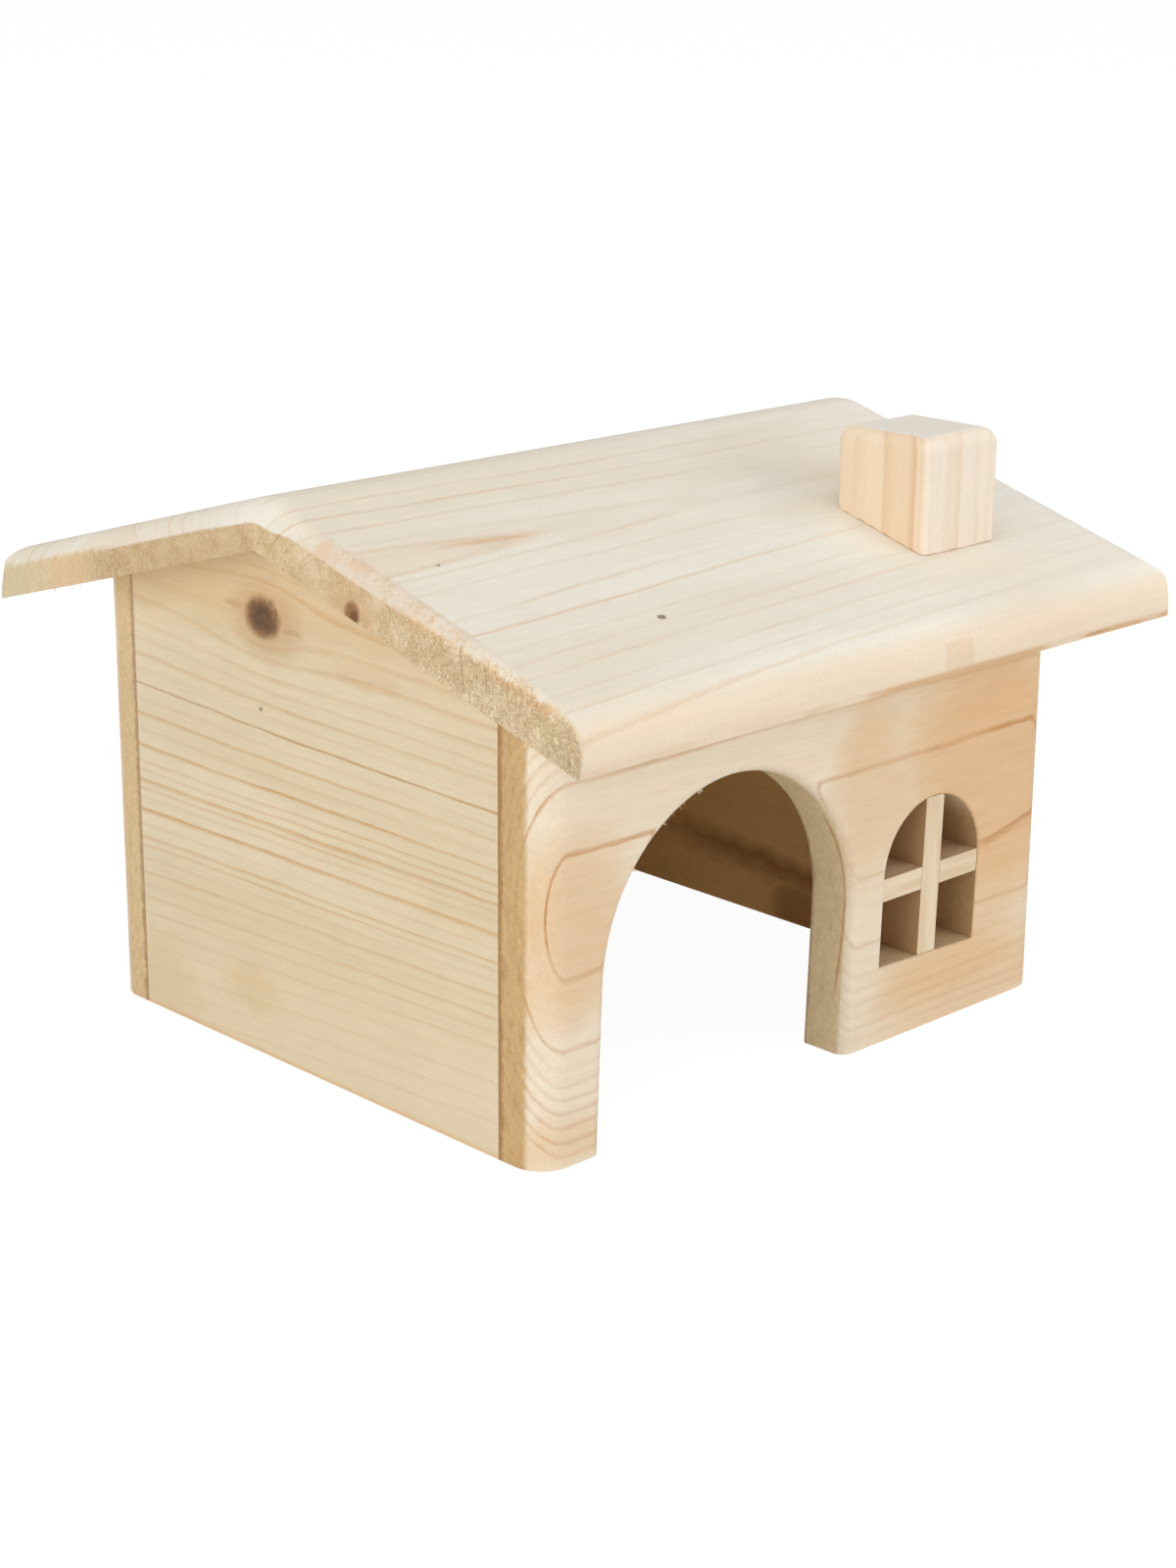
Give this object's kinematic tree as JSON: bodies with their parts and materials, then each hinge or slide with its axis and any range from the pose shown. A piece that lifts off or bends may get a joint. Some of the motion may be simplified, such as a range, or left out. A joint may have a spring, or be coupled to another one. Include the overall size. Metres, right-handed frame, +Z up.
{
  "type": "wooden hamster house",
  "caption": "Small untreated pine house for a hamster: pitched roof of mitred boards with rounded edges, block chimney, arched doorway and arched window crossed by bars, no floor.",
  "frame": {"origin": "on the ground under the middle of the roof, at the bottom centre of the bounding box", "axes": "+Z up; X along the ridge, +X towards the chimney and window end; -Y is the front with the doorway, so the roof's width runs along Y"},
  "size_m": [0.15, 0.1546, 0.1092],
  "materials": {
    "pine_wall": "sanded, untreated",
    "pine_gable": "sanded, untreated",
    "pine_roof": "sanded, untreated",
    "pine_chimney": "sanded, untreated",
    "pine_bar": "sawn, untreated"
  },
  "bodies": {
    "root": {"front_wall": "pine_wall", "back_wall": "pine_wall", "left_gable": "pine_gable", "right_gable": "pine_gable", "roof_front_board": "pine_roof", "roof_rear_board": "pine_roof", "chimney": "pine_chimney", "window_upright_bar": "pine_bar", "window_cross_bar": "pine_bar"}
  },
  "joints": []
}
